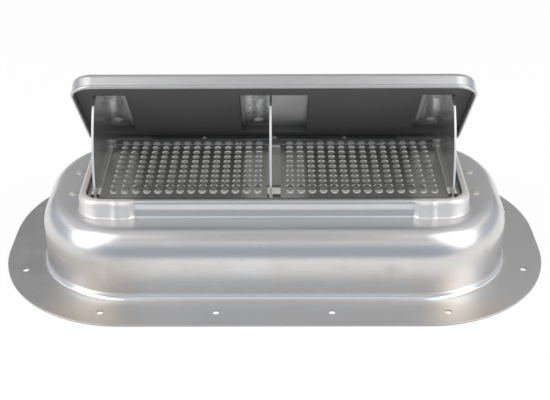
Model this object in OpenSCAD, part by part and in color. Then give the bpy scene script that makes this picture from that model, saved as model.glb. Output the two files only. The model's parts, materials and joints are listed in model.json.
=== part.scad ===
// Caravan roof vent: a pressed aluminium dome with a fixing flange, a perforated screen in its collar,
// and a hinged lid that three quadrant plates hold open by friction.
// Millimetres. X runs along the length, -Y is the front, +Z is up, and the origin is the centre of the
// flange's underside. The lid is drawn open.

/* [Flange] */
// Length of the flange
flange_l = 500; // [460:1:560]
// Width of the flange
flange_w = 268; // [250:1:300]
// Plan radius of the flange's corners
flange_r = 118; // [110:1:124]
// Sheet thickness of the base pressing
base_sheet = 1.5; // [1.2:0.1:2]
// Diameter of the fixing holes
hole_d = 6; // [4:0.5:7]
// Spacing of the fixing holes along the length
hole_pitch = 100.7; // [80:0.1:105]
// Distance from the long edges to their fixing holes
hole_inset = 18.4; // [14:0.1:20]
// Spacing of the two fixing holes at each end
end_hole_pitch = 102; // [60:0.5:110]
// Distance from the end edges to their fixing holes
end_hole_inset = 21.6; // [18:0.1:24]

/* [Dome] */
// Distance from the flange's edge to the dome's wall
dome_margin = 37.5; // [34:0.5:42]
// Height of the shelf around the collar
shelf_h = 64.2; // [55:0.1:75]
// Radius of the fillet at the foot of the dome
foot_r = 5; // [3:0.5:7]
// Radius of the dome's shoulder
shoulder_r = 20; // [12:0.5:22]

/* [Collar] */
// Width of the shelf at the ends, from the dome's wall to the collar
shelf_end_w = 38.5; // [36:0.1:48]
// Width of the shelf along the sides, from the dome's wall to the collar's corners
shelf_side_w = 33.9; // [30:0.1:38]
// Plan radius of the collar's corners
collar_r = 21; // [17:0.5:25]
// Height of the collar above the shelf
collar_h = 15.8; // [14:0.1:18]
// Radius of the fillet at the foot of the collar
collar_foot_r = 2.5; // [1:0.1:3]
// Outer radius of the crest at the corners and ends
crest_r = 4.5; // [3:0.1:5]
// Distance from the collar's ends to the recesses in its long sides
recess_inset = 48; // [46:0.5:60]
// Depth of the hinge recess in the rear side
recess_depth = 4.2; // [3.8:0.1:4.4]
// Depth of the shallower recess in the front side
front_recess_depth = 2.2; // [1.5:0.1:3.5]
// Plan radius at the ends of the recesses
recess_r = 5; // [4.6:0.1:8]

/* [Screen] */
// Sheet thickness of the screen
screen_sheet = 1.2; // [0.8:0.1:1.5]
// Depth of the screen below the crest of the collar
screen_drop = 4.4; // [4.2:0.1:6]
// Gap between the screen and the collar
screen_gap = 0.3; // [0.2:0.05:0.5]
// Diameter of the perforations
perf_d = 7; // [4:0.1:7.6]
// Spacing of the perforations along the length
perf_pitch_x = 9.92; // [9:0.01:10]
// Spacing of the perforations across the width
perf_pitch_y = 9.05; // [8.5:0.01:9.2]
// Distance from the middle of the screen to the first column
perf_start = 14.6; // [13.5:0.1:15]
// Width of the tabs that carry the screen under the shelf
tab_w = 60; // [50:1:70]
// Distance from the collar to the rivets on the shelf
shelf_rivet_gap = 8.9; // [7:0.1:11]
// Spacing of the two rivets at each end of the shelf
shelf_rivet_pitch = 38.5; // [30:0.5:44]
// Head diameter of the rivets on the shelf
shelf_rivet_d = 9.5; // [7:0.1:11]

/* [Hinge] */
// Gap between the hinge and the curved ends of its recess
hinge_end_gap = 1; // [0.5:0.5:20]
// Knuckles along the hinge
hinge_knuckles = 7; // [5:2:9]
// Thickness of the hinge leaves
leaf_sheet = 1.2; // [1:0.1:1.4]
// Diameter of the hinge pin
pin_d = 2.6; // [2:0.1:3]
// Depth of the hinge pin below the crest of the collar
hinge_drop = 8; // [7.6:0.1:8.6]
// Angle of the open lid
open_angle = 49.8; // [35:0.1:55]

/* [Lid] */
// Sheet thickness of the lid
lid_sheet = 1.2; // [1:0.1:1.5]
// Height of the lid
lid_h = 14.8; // [13:0.1:16]
// Depth to which the closed lid covers the collar
lid_overlap = 6.5; // [6.2:0.1:7]
// Gap between the lid's end walls and the collar
lid_end_gap = 2.6; // [1.5:0.1:4]
// Inner plan radius of the lid's corners
lid_r = 19; // [16:0.5:21]
// Radius of the lid's top edge
lid_top_r = 4.2; // [3:0.1:5]
// Radius of the bead along the lid's lip
bead_r = 1.7; // [1.5:0.1:2]
// Distance that the bead stands out from the lid's wall
bead_proud = 1.2; // [0.8:0.1:1.4]
// Gap between the closed lining and the crest of the collar
seal_gap = 0.3; // [0.2:0.1:0.5]

/* [Quadrants] */
// Thickness of the quadrant plates
plate_sheet = 2; // [1.5:0.1:2.2]
// Distance from the screen's front edge to the quadrants' front edge
plate_front_gap = 11.4; // [10:0.1:16]
// Radius of the quadrants' rear edge about the hinge
plate_inner_r = 16; // [15:0.5:22]
// Distance from the ends of the screen to the outer quadrants
plate_inset = 7.5; // [7:0.1:8.5]
// Distance from the middle to the centre quadrant, towards the left
centre_plate_x = 2.8; // [2:0.1:3.5]
// Width of the flange that fixes an outer quadrant to the lid
side_flange_w = 21; // [17:0.5:24]
// Width of the flange that fixes the centre quadrant to the lid
centre_flange_w = 26; // [18:0.5:28]
// Width of the centre slot in the screen
centre_slot_w = 12; // [11:0.1:13]
// Width of the outer slots in the screen
side_slot_w = 8; // [7:0.1:8.4]
// Head diameter of the rivets that fix a quadrant
plate_rivet_d = 10; // [7:0.1:11]
// Clearance on each side of a quadrant in its friction block
slit_gap = 0.3; // [0.25:0.01:0.4]
// Length of a friction block along its slot
block_l = 11; // [8:0.5:12]
// Height of a friction block above the screen
block_rise = 0.6; // [0.4:0.1:1.5]

/* [Hidden] */
$fn = 64;
// Overshoot of a cut past the face it breaks through
over = 1;

// Radial clearance of a rivet in its hole
rivet_fit = 0.05;
// Radial clearance of the hinge pin in the knuckles
pin_fit = 0.05;
// Gap between the ends of two knuckles, and between a knuckle and the notch of the other leaf
knuckle_gap = 0.5;

// Heights
crest_z = shelf_h + collar_h;
screen_z = crest_z - screen_drop;
axis_z = crest_z - hinge_drop;
lip_z = crest_z - lid_overlap;
lid_top_z = lip_z + lid_h;
lid_inner_z = lid_top_z - lid_sheet;
lining_z = crest_z + seal_gap;

// Corner centres and radii of the plan outlines
flange_cx = flange_l / 2 - flange_r;
flange_cy = flange_w / 2 - flange_r;
dome_r = flange_r - dome_margin;
collar_l = flange_l - 2 * (dome_margin + shelf_end_w);
collar_w = flange_w - 2 * (dome_margin + shelf_side_w);
collar_cx = collar_l / 2 - collar_r;
collar_cy = collar_w / 2 - collar_r;
// The folded rim is two sheets thick in the hinge recess, and a channel at the corners and ends
recess_l = collar_l - 2 * recess_inset;
recess_y = collar_w / 2 - recess_depth;
rim_w = recess_depth + 2 * base_sheet;
opening_r = collar_r - rim_w;
recess_crest_r = 0.6 * 2 * base_sheet;
inner_crest_r = 2 * base_sheet - recess_crest_r;
screen_r = opening_r - screen_gap;
screen_half_x = collar_cx + screen_r;
screen_half_y = collar_cy + screen_r;
lid_cx = collar_l / 2 + lid_end_gap - lid_r;

// Hinge: the base leaf lies on the recess, and the lid leaf on the lid's rear wall
hinge_l = recess_l - 2 * (recess_r + hinge_end_gap);
knuckle_play = 0.2;
base_leaf_gap = 1;
lid_leaf_gap = 0.3;
knuckle_r = leaf_sheet + pin_d / 2 + knuckle_play;
axis_y = recess_y + knuckle_r;
lid_wall_y = axis_y + knuckle_r;
lid_cy = lid_wall_y - lid_r;
knuckle_l = hinge_l / hinge_knuckles;
leaf_notch = knuckle_r + knuckle_gap;
base_leaf_h = hinge_drop - base_leaf_gap;
lid_leaf_h = lid_top_z - lid_top_r - axis_z - lid_leaf_gap;
hinge_rivet_r = 1;
base_rivet_z = axis_z + (leaf_notch + base_leaf_h) / 2;
lid_rivet_z = axis_z + (leaf_notch + lid_leaf_h) / 2;

// Screen carriers
tab_z = shelf_h - base_sheet - screen_sheet;
shelf_rivet_x = collar_l / 2 + shelf_rivet_gap;
shelf_rivet_shank_r = shelf_rivet_d / 4;
tab_margin = 2;
tab_end_x = shelf_rivet_x + shelf_rivet_d / 2 + tab_margin;
screen_flange_gap = 0.2;
screen_flange_z = crest_z - screen_flange_gap;

// Slots: each runs past the travel of its quadrant
slot_front_gap = 2;
slot_rear_gap = 6;
plate_x = screen_half_x - plate_inset;
plate_r = axis_y + screen_half_y - plate_front_gap;
slot_front_y = axis_y - plate_r - slot_front_gap;
slot_rear_y = axis_y - plate_inner_r + slot_rear_gap;

// Perforations: as many columns as fit up to the outer slots, and full rows up to the blank front strip
perf_end_gap = 1.5;
perf_front_gap = 8;
perf_columns = 1 + floor((plate_x - (side_slot_w + perf_d) / 2 - perf_end_gap - perf_start) / perf_pitch_x);
perf_rows = floor((2 * screen_half_y - perf_front_gap - perf_d / 2) / perf_pitch_y);

// Friction blocks: each stands behind the front end of its slot and hooks under the screen
block_setback = 4.6;
block_bridge = 2.5;
block_lip = 1.5;
block_lip_h = 3;
block_front_y = slot_front_y + block_setback;

// Lining, with a window for each quadrant's flange
lining_rear_gap = 1;
lining_rear_y = lid_wall_y - leaf_sheet - hinge_rivet_r - lining_rear_gap;
lining_gap = 0.3;
lining_step_z = lid_top_z - lid_top_r;
window_side_gap = 1.5;
centre_window_gap = 3.2;
side_window_gap = 6.2;
window_setback = 8.7;
window_front_y = axis_y - plate_r + window_setback;
window_rear_y = slot_rear_y;
plate_flange_front_y = window_front_y + window_side_gap;
plate_flange_rear_y = window_rear_y - 2 * window_side_gap;
plate_rivet_y = [plate_flange_front_y + 1.15 * plate_rivet_d, plate_flange_rear_y - 1.7 * plate_rivet_d];
plate_rivet_shank_r = plate_rivet_d / 4;
// The front corner of a plate is cut back, so that it passes its window
nose_x = axis_y - window_front_y - lining_gap;
nose_top = lining_z - axis_z;
nose_drop = 14;

// Rounded rectangle about four corner centres
module outline(cx, cy, r) {
    square([2 * cx, 2 * (cy + r)], center = true);
    square([2 * (cx + r), 2 * cy], center = true);
    for (x = [-cx, cx], y = [-cy, cy]) translate([x, y]) circle(r);
}

// One profile, drawn as radius and height, swept around the corners and along the ends
module corners_and_ends(cx, cy) {
    for (turn = [0, 1], side = [0, 1]) rotate(180 * turn) mirror([0, side, 0])
        translate([cx, cy, 0]) rotate_extrude(angle = 90) children();
    for (turn = [0, 1]) rotate(180 * turn) translate([cx, cy, 0])
        rotate([90, 0, 0]) linear_extrude(2 * cy) children();
}

// The same sweep, closed along the two long sides
module ring(cx, cy) {
    corners_and_ends(cx, cy) children();
    for (turn = [0, 1]) rotate(180 * turn) translate([-cx, cy, 0])
        rotate([90, 0, 90]) linear_extrude(2 * cx) children();
}

// A quarter of a sheet bent between two radii, in the quadrant of the given signs
module bend(outer_r, inner_r, sx, sy) {
    intersection() {
        difference() {
            circle(outer_r);
            circle(inner_r);
        }
        translate([sx < 0 ? -outer_r : 0, sy < 0 ? -outer_r : 0]) square(outer_r);
    }
}

// A low domed head on the plane z = 0, with its shank below and a flat head at the shank's end
module rivet(head_d, head_h, shank_r, grip, tail_h) {
    sphere_r = (head_d * head_d / 4 + head_h * head_h) / (2 * head_h);
    intersection() {
        translate([0, 0, head_h - sphere_r]) sphere(sphere_r);
        cylinder(h = head_h + over, d = head_d);
    }
    translate([0, 0, -grip]) cylinder(h = grip, r = shank_r);
    if (tail_h > 0) translate([0, 0, -grip - tail_h]) cylinder(h = tail_h, r = shank_r * 1.7);
}

// The lid turns about the hinge pin, from closed to open
module opened() {
    translate([0, axis_y, axis_z]) rotate([-open_angle, 0, 0]) translate([0, -axis_y, -axis_z]) children();
}

// Flange, foot, wall and shoulder of the dome
module dome_profile() {
    translate([dome_r + foot_r, 0]) square([flange_r - dome_r - foot_r, base_sheet]);
    translate([dome_r + foot_r, base_sheet + foot_r]) bend(foot_r + base_sheet, foot_r, -1, -1);
    translate([dome_r - base_sheet, base_sheet + foot_r])
        square([base_sheet, shelf_h - shoulder_r - base_sheet - foot_r]);
    translate([dome_r - shoulder_r, shelf_h - shoulder_r]) bend(shoulder_r, shoulder_r - base_sheet, 1, 1);
}

// Folded rim of the collar, with its foot fillet
module collar_profile() {
    difference() {
        translate([opening_r, shelf_h]) square([rim_w, collar_h]);
        translate([collar_r - crest_r, crest_z - crest_r]) difference() {
            square(crest_r + over);
            circle(crest_r);
        }
        translate([opening_r - over, crest_z - inner_crest_r]) difference() {
            square([inner_crest_r + over, inner_crest_r + over]);
            translate([inner_crest_r + over, 0]) circle(inner_crest_r);
        }
    }
    translate([collar_r, shelf_h]) difference() {
        square(collar_foot_r);
        translate([collar_foot_r, collar_foot_r]) circle(collar_foot_r);
    }
}

// Space under the folded rim at the corners and ends
module channel_profile() {
    translate([opening_r + base_sheet, shelf_h - base_sheet - over])
        square([recess_depth, collar_h - base_sheet + over]);
}

// What the recess takes from the collar, as distance from the middle of its end radius and height
module recess_profile() {
    difference() {
        translate([0, shelf_h]) square([recess_r + recess_crest_r, collar_h + over]);
        translate([recess_r, shelf_h]) square([recess_crest_r + over, collar_h - recess_crest_r]);
        translate([recess_r + recess_crest_r, crest_z - recess_crest_r]) circle(recess_crest_r);
        translate([recess_r - collar_foot_r, shelf_h]) difference() {
            square(collar_foot_r);
            translate([0, collar_foot_r]) circle(collar_foot_r);
        }
    }
}

module recess(depth) {
    recess_mid = recess_l / 2 - recess_r;
    centre_y = collar_w / 2 - depth + recess_r;
    translate([-recess_mid, centre_y, 0]) mirror([0, 1, 0])
        rotate([90, 0, 90]) linear_extrude(2 * recess_mid) recess_profile();
    for (x = [-recess_mid, recess_mid]) translate([x, centre_y, 0])
        rotate_extrude() recess_profile();
}

module shelf_rivet_places(side) {
    for (y = [-shelf_rivet_pitch / 2, shelf_rivet_pitch / 2]) translate([side * shelf_rivet_x, y, shelf_h]) children();
}

module base_rivet_places() {
    for (k = [0 : 2 : hinge_knuckles - 1])
        translate([(k + 0.5) * knuckle_l - hinge_l / 2, recess_y + leaf_sheet, base_rivet_z])
            rotate([-90, 0, 0]) children();
}

module lid_rivet_places() {
    for (k = [1 : 2 : hinge_knuckles - 1])
        translate([(k + 0.5) * knuckle_l - hinge_l / 2, lid_wall_y - leaf_sheet, lid_rivet_z])
            rotate([90, 0, 0]) children();
}

module fixing_holes() {
    for (k = [-1.5 : 1 : 1.5], y = [-1, 1])
        translate([k * hole_pitch, y * (flange_w / 2 - hole_inset), -over])
            cylinder(h = base_sheet + 2 * over, d = hole_d);
    for (x = [-1, 1], y = [-0.5, 0.5])
        translate([x * (flange_l / 2 - end_hole_inset), y * end_hole_pitch, -over])
            cylinder(h = base_sheet + 2 * over, d = hole_d);
}

module base_pressing() {
    color([0.72, 0.73, 0.75]) difference() {
        union() {
            ring(flange_cx, flange_cy) dome_profile();
            translate([0, 0, shelf_h - base_sheet]) linear_extrude(base_sheet) difference() {
                outline(flange_cx, flange_cy, dome_r - shoulder_r);
                outline(collar_cx, collar_cy, opening_r);
            }
            difference() {
                ring(collar_cx, collar_cy) collar_profile();
                recess(recess_depth);
                rotate(180) recess(front_recess_depth);
            }
        }
        corners_and_ends(collar_cx, collar_cy) channel_profile();
        fixing_holes();
        for (side = [-1, 1]) shelf_rivet_places(side) translate([0, 0, -base_sheet - over])
            cylinder(h = base_sheet + 2 * over, r = shelf_rivet_shank_r + rivet_fit);
        base_rivet_places() translate([0, 0, -leaf_sheet - 2 * base_sheet - over])
            cylinder(h = leaf_sheet + 2 * base_sheet + over, r = hinge_rivet_r + rivet_fit);
    }
}

// Columns of perforations, in both halves of the screen
module perf_columns_x() {
    for (side = [-1, 1], k = [0 : perf_columns - 1])
        translate([side * (perf_start + k * perf_pitch_x), 0]) children();
}

module slot_outline(x, w) {
    translate([x - w / 2, slot_front_y]) square([w, slot_rear_y - slot_front_y - w / 4]);
    translate([x - w / 4, slot_front_y]) square([w / 2, slot_rear_y - slot_front_y]);
    for (s = [-1, 1]) translate([x + s * w / 4, slot_rear_y - w / 4]) circle(w / 4);
}

module screen_sheet_outline() {
    difference() {
        outline(collar_cx, collar_cy, screen_r);
        perf_columns_x() for (row = [0 : perf_rows])
            translate([0, screen_half_y - row * perf_pitch_y]) circle(d = perf_d);
        slot_outline(0, centre_slot_w);
        for (side = [-1, 1]) slot_outline(side * plate_x, side_slot_w);
    }
}

module screen() {
    flange_h = screen_flange_z - screen_z;
    color([0.6, 0.6, 0.6]) {
        translate([0, 0, screen_z - screen_sheet]) linear_extrude(screen_sheet) screen_sheet_outline();
        // Upturned edges at the rear and front, the rear one cut by the last row of perforations
        translate([0, screen_half_y, screen_z]) rotate([90, 0, 0]) linear_extrude(screen_sheet) difference() {
            translate([-collar_cx, 0]) square([2 * collar_cx, flange_h]);
            perf_columns_x() circle(d = perf_d);
        }
        translate([-collar_cx, -screen_half_y, screen_z]) cube([2 * collar_cx, screen_sheet, flange_h]);
        // End walls down to the tabs under the shelf
        for (side = [0, 1]) mirror([side, 0, 0]) difference() {
            union() {
                translate([screen_half_x - screen_sheet, -collar_cy, tab_z])
                    cube([screen_sheet, 2 * collar_cy, screen_z - screen_sheet - tab_z]);
                translate([screen_half_x - screen_sheet, -tab_w / 2, tab_z])
                    cube([tab_end_x - screen_half_x + screen_sheet, tab_w, screen_sheet]);
            }
            shelf_rivet_places(1) translate([0, 0, tab_z - shelf_h - over])
                cylinder(h = screen_sheet + 2 * over, r = shelf_rivet_shank_r + rivet_fit);
        }
    }
}

module shelf_rivets(side) {
    color([0.75, 0.75, 0.73]) shelf_rivet_places(side)
        rivet(shelf_rivet_d, shelf_rivet_d / 6, shelf_rivet_shank_r, base_sheet + screen_sheet, 1.2);
}

// Nylon block in the front of a slot, which grips the quadrant in its slit
module friction_block(x, w, plate_mid) {
    waist_gap = 0.1;
    low_z = screen_z - screen_sheet - block_lip_h;
    top_z = screen_z + block_rise;
    slit_w = plate_sheet + 2 * slit_gap;
    color([0.92, 0.92, 0.9]) difference() {
        union() {
            translate([x - w / 2 + waist_gap, block_front_y, low_z])
                cube([w - 2 * waist_gap, block_l, top_z - low_z]);
            translate([x - w / 2 - block_lip, slot_front_y - block_bridge, low_z])
                cube([w + 2 * block_lip, block_bridge + block_setback + block_l, block_lip_h]);
        }
        translate([x - w / 2, slot_front_y, low_z - over]) cube([w, block_setback, block_lip_h + 2 * over]);
        translate([plate_mid - slit_w / 2, slot_front_y, low_z - over])
            cube([slit_w, block_setback + block_l + over, top_z - low_z + 2 * over]);
    }
}

// Barrels of one leaf: every second knuckle, from the given one
module barrels(first, length_gap) {
    for (k = [first : 2 : hinge_knuckles - 1])
        translate([k * knuckle_l - hinge_l / 2 + length_gap / 2, axis_y, axis_z]) rotate([0, 90, 0])
            cylinder(h = knuckle_l - length_gap, r = knuckle_r);
}

// One leaf: a plate that reaches the axis beside its own barrels and is notched beside the other leaf's
module leaf(first, y, h) {
    difference() {
        union() {
            translate([-hinge_l / 2, y, axis_z + leaf_notch]) cube([hinge_l, leaf_sheet, h - leaf_notch]);
            for (k = [first : 2 : hinge_knuckles - 1])
                translate([k * knuckle_l - hinge_l / 2 + knuckle_gap / 2, y, axis_z])
                    cube([knuckle_l - knuckle_gap, leaf_sheet, h]);
            barrels(first, knuckle_gap);
        }
        translate([-hinge_l / 2 - over, axis_y, axis_z]) rotate([0, 90, 0])
            cylinder(h = hinge_l + 2 * over, r = pin_d / 2 + pin_fit);
    }
}

module hinge_base_leaf() {
    color([0.7, 0.7, 0.71]) difference() {
        leaf(0, recess_y, base_leaf_h);
        base_rivet_places() translate([0, 0, -leaf_sheet - over])
            cylinder(h = leaf_sheet + 2 * over, r = hinge_rivet_r + rivet_fit);
    }
}

module hinge_base_rivets() {
    color([0.75, 0.75, 0.73]) base_rivet_places()
        rivet(3.2 * hinge_rivet_r, 0.7 * hinge_rivet_r, hinge_rivet_r, leaf_sheet + 2 * base_sheet, 0);
}

module hinge_pin() {
    color([0.6, 0.6, 0.62]) translate([-hinge_l / 2, axis_y, axis_z]) rotate([0, 90, 0])
        cylinder(h = hinge_l, d = pin_d);
}

// Wall of the lid from the beaded lip to the rounded top edge
module lid_profile() {
    wall_r = lid_r + lid_sheet;
    translate([lid_r, lip_z + bead_r]) square([lid_sheet, lid_h - lid_top_r - bead_r]);
    translate([wall_r - lid_top_r, lid_top_z - lid_top_r]) bend(lid_top_r, lid_top_r - lid_sheet, 1, 1);
    intersection() {
        translate([wall_r + bead_proud - bead_r, lip_z + bead_r]) circle(bead_r);
        translate([lid_r, lip_z]) square([lid_sheet + bead_proud, 2 * bead_r]);
    }
}

module plate_rivet_places(mid_x) {
    for (y = plate_rivet_y) translate([mid_x, y, lid_inner_z - plate_sheet]) mirror([0, 0, 1]) children();
}

// Each quadrant as its plate's middle, the side to which its flange points, the flange's width, and how far
// its window reaches past the plate's middle on the other side and past the end of the flange
quadrants = [
    [-plate_x, 1, side_flange_w, plate_sheet / 2 + window_side_gap, side_window_gap],
    [
        -centre_plate_x, -1, centre_flange_w,
        2 * centre_plate_x - plate_sheet / 2 + centre_flange_w + centre_window_gap, centre_window_gap
    ],
    [plate_x, -1, side_flange_w, plate_sheet / 2 + window_side_gap, side_window_gap]
];

// Middle of a quadrant's flange
function flange_mid(q) = q[0] + q[1] * (q[2] - plate_sheet) / 2;

module lid_shell() {
    color([0.74, 0.75, 0.77]) opened() difference() {
        union() {
            ring(lid_cx, lid_cy) lid_profile();
            translate([0, 0, lid_inner_z]) linear_extrude(lid_sheet)
                outline(lid_cx, lid_cy, lid_r + lid_sheet - lid_top_r);
        }
        for (q = quadrants) plate_rivet_places(flange_mid(q)) translate([0, 0, -plate_sheet - lid_sheet - over])
            cylinder(h = plate_sheet + lid_sheet + over, r = plate_rivet_shank_r + rivet_fit);
        lid_rivet_places() translate([0, 0, -leaf_sheet - lid_sheet - over])
            cylinder(h = leaf_sheet + lid_sheet + over, r = hinge_rivet_r + rivet_fit);
    }
}

// Window in the lining around a quadrant's flange
module window(q) {
    window_w = q[3] + q[2] - plate_sheet / 2 + q[4];
    translate([q[1] > 0 ? q[0] - q[3] : q[0] + q[3] - window_w, window_front_y])
        square([window_w, window_rear_y - window_front_y]);
}

module lining_outline(r) {
    difference() {
        outline(lid_cx, lid_cy, r);
        translate([-lid_cx - lid_r, lining_rear_y]) square([2 * (lid_cx + lid_r), lid_r]);
        for (q = quadrants) window(q);
    }
}

// Foam sheet that seals on the crest, stepped back under the rounded edge of the lid
module lid_lining() {
    color([0.25, 0.25, 0.26]) opened() {
        translate([0, 0, lining_z]) linear_extrude(lining_step_z - lining_z) lining_outline(lid_r - lining_gap);
        translate([0, 0, lining_step_z]) linear_extrude(lid_inner_z - lining_step_z)
            lining_outline(lid_r + lid_sheet - lid_top_r - lining_gap);
    }
}

// Sector plate about the hinge, from the lid to just under the screen when open, with its fixing flange
module quadrant(q) {
    reach = plate_r + over;
    color([0.66, 0.66, 0.67]) opened() difference() {
        union() {
            translate([q[0] + plate_sheet / 2, axis_y, axis_z]) rotate([90, 0, -90]) linear_extrude(plate_sheet)
                difference() {
                    circle(plate_r);
                    circle(plate_inner_r);
                    translate([-reach, lid_inner_z - axis_z]) square([2 * reach, reach]);
                    translate([-reach, -reach]) square([reach + axis_y - plate_flange_rear_y, 2 * reach]);
                    rotate(-open_angle) translate([-reach, -reach]) square([2 * reach, reach]);
                    polygon([
                        [nose_x, reach], [nose_x, nose_top], [plate_r, nose_top - nose_drop],
                        [reach, nose_top - nose_drop], [reach, reach]
                    ]);
                }
            translate([flange_mid(q) - q[2] / 2, plate_flange_front_y, lid_inner_z - plate_sheet])
                cube([q[2], plate_flange_rear_y - plate_flange_front_y, plate_sheet]);
        }
        plate_rivet_places(flange_mid(q)) translate([0, 0, -plate_sheet - over])
            cylinder(h = plate_sheet + 2 * over, r = plate_rivet_shank_r + rivet_fit);
    }
}

module quadrant_rivets(q) {
    color([0.75, 0.75, 0.73]) opened() plate_rivet_places(flange_mid(q))
        rivet(plate_rivet_d, plate_rivet_d / 8, plate_rivet_shank_r, plate_sheet + lid_sheet, 0.8);
}

module hinge_lid_leaf() {
    color([0.7, 0.7, 0.71]) opened() difference() {
        leaf(1, lid_wall_y - leaf_sheet, lid_leaf_h);
        lid_rivet_places() translate([0, 0, -leaf_sheet - over])
            cylinder(h = leaf_sheet + 2 * over, r = hinge_rivet_r + rivet_fit);
    }
}

module hinge_lid_rivets() {
    color([0.75, 0.75, 0.73]) opened() lid_rivet_places()
        rivet(4 * hinge_rivet_r, 0.8 * hinge_rivet_r, hinge_rivet_r, leaf_sheet + lid_sheet, 0.8);
}

base_pressing();
screen();
shelf_rivets(-1);  // left_shelf_rivets
shelf_rivets(1);  // right_shelf_rivets
friction_block(-plate_x, side_slot_w, -plate_x);  // left_friction_block
friction_block(0, centre_slot_w, -centre_plate_x);  // centre_friction_block
friction_block(plate_x, side_slot_w, plate_x);  // right_friction_block
hinge_base_leaf();
hinge_base_rivets();
hinge_pin();
lid_shell();
lid_lining();
quadrant(quadrants[0]);  // left_quadrant
quadrant(quadrants[1]);  // centre_quadrant
quadrant(quadrants[2]);  // right_quadrant
quadrant_rivets(quadrants[0]);  // left_quadrant_rivets
quadrant_rivets(quadrants[1]);  // centre_quadrant_rivets
quadrant_rivets(quadrants[2]);  // right_quadrant_rivets
hinge_lid_leaf();
hinge_lid_rivets();
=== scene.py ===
# Caravan roof vent with its lid open: finishes, pressed shells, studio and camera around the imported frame
import bmesh
import bpy
import json
from math import acos, cos, pi, radians, sin, sqrt
from mathutils import Matrix, Vector


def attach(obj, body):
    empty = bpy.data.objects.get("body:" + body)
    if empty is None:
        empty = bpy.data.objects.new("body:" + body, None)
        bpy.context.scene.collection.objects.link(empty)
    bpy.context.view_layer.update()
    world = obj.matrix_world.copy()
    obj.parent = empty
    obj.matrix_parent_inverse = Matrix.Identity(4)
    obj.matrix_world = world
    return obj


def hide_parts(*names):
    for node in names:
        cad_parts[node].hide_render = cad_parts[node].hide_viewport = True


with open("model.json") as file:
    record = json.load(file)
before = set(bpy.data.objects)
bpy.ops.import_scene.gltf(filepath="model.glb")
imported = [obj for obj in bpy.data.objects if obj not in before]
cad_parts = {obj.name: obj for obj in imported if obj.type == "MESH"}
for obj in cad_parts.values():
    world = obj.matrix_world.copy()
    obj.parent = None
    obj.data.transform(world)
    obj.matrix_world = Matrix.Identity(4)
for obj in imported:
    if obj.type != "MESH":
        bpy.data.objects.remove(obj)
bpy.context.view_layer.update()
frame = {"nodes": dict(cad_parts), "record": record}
scene = bpy.context.scene
mm = 0.001
hinge = frame["record"]["behaviour"]["joints"][0]
openAngle = hinge["range_deg"][1]  # degrees from open, as drawn, to closed
print("frame loaded:", len(frame["nodes"]), "nodes")


# Camera, solved from the flange's outline and holes
cameraFit = {
    "place": (5.7 * mm, -836.75 * mm, 551.74 * mm),
    "pitch": 31.2, "yaw": -0.346, "roll": -0.289,  # degrees
    "focal": 1041.3, "imageWidth": 550,  # pixels of the photo
    "sensor": 36.0,
}


def addCamera(fit):
    pitch, yaw, roll = radians(fit["pitch"]), radians(fit["yaw"]), radians(fit["roll"])
    forward = Vector((sin(yaw) * cos(pitch), cos(yaw) * cos(pitch), -sin(pitch)))
    level = Vector((cos(yaw), -sin(yaw), 0))
    rise = level.cross(forward)
    right = level * cos(roll) + rise * sin(roll)
    up = rise * cos(roll) - level * sin(roll)
    data = bpy.data.cameras.new("photoCamera")
    data.sensor_fit = "HORIZONTAL"
    data.sensor_width = fit["sensor"]
    data.lens = fit["focal"] * fit["sensor"] / fit["imageWidth"]
    camera = bpy.data.objects.new("photoCamera", data)
    turn = Matrix((right, up, -forward)).transposed().to_4x4()
    camera.matrix_world = Matrix.Translation(fit["place"]) @ turn
    scene.collection.objects.link(camera)
    scene.camera = camera


addCamera(cameraFit)
print("camera set")


# Small tools for modelling
meshing = {
    "sweepMerge": 0.01 * mm, "copyMerge": 0.002 * mm,
    "flatFaces": 0.5, "edgeSegments": 2,  # degrees between faces that are joined, steps of a broken edge
}


def deselectAll():
    if bpy.context.mode != "OBJECT":
        bpy.ops.object.mode_set(mode="OBJECT")
    bpy.ops.object.select_all(action="DESELECT")


def activate(piece):
    deselectAll()
    piece.select_set(True)
    bpy.context.view_layer.objects.active = piece


def applyModifier(piece, kind, **settings):
    activate(piece)
    modifier = piece.modifiers.new(kind.lower(), kind)
    for key, value in settings.items():
        setattr(modifier, key, value)
    bpy.ops.object.modifier_apply(modifier=modifier.name)


def smoothByAngle(piece, angle):
    activate(piece)
    bpy.ops.object.shade_smooth_by_angle(angle=radians(angle))
    applyModifier(piece, "WEIGHTED_NORMAL", keep_sharp=True)


def fitOut(piece, body, material, node):
    piece.data.materials.clear()
    piece.data.materials.append(material)
    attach(piece, body)
    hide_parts(node)


# A closed edge loop is drawn on the first outline and extruded from outline to outline
def sweepLoops(name, loops):
    deselectAll()
    bpy.ops.mesh.primitive_circle_add(vertices=len(loops[0]), radius=1)
    piece = bpy.context.object
    piece.name = piece.data.name = name
    bpy.ops.object.mode_set(mode="EDIT")
    bpy.ops.mesh.select_all(action="SELECT")
    mesh = bmesh.from_edit_mesh(piece.data)
    station = mesh.verts.layers.int.new("station")
    for vert in mesh.verts:
        vert[station] = vert.index
        vert.co = loops[0][vert.index]
    bmesh.update_edit_mesh(piece.data)
    for loop in loops[1:]:
        bpy.ops.mesh.extrude_edges_move()
        mesh = bmesh.from_edit_mesh(piece.data)
        station = mesh.verts.layers.int["station"]
        for vert in mesh.verts:
            if vert.select:
                vert.co = loop[vert[station]]
        bmesh.update_edit_mesh(piece.data)
    return piece


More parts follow.
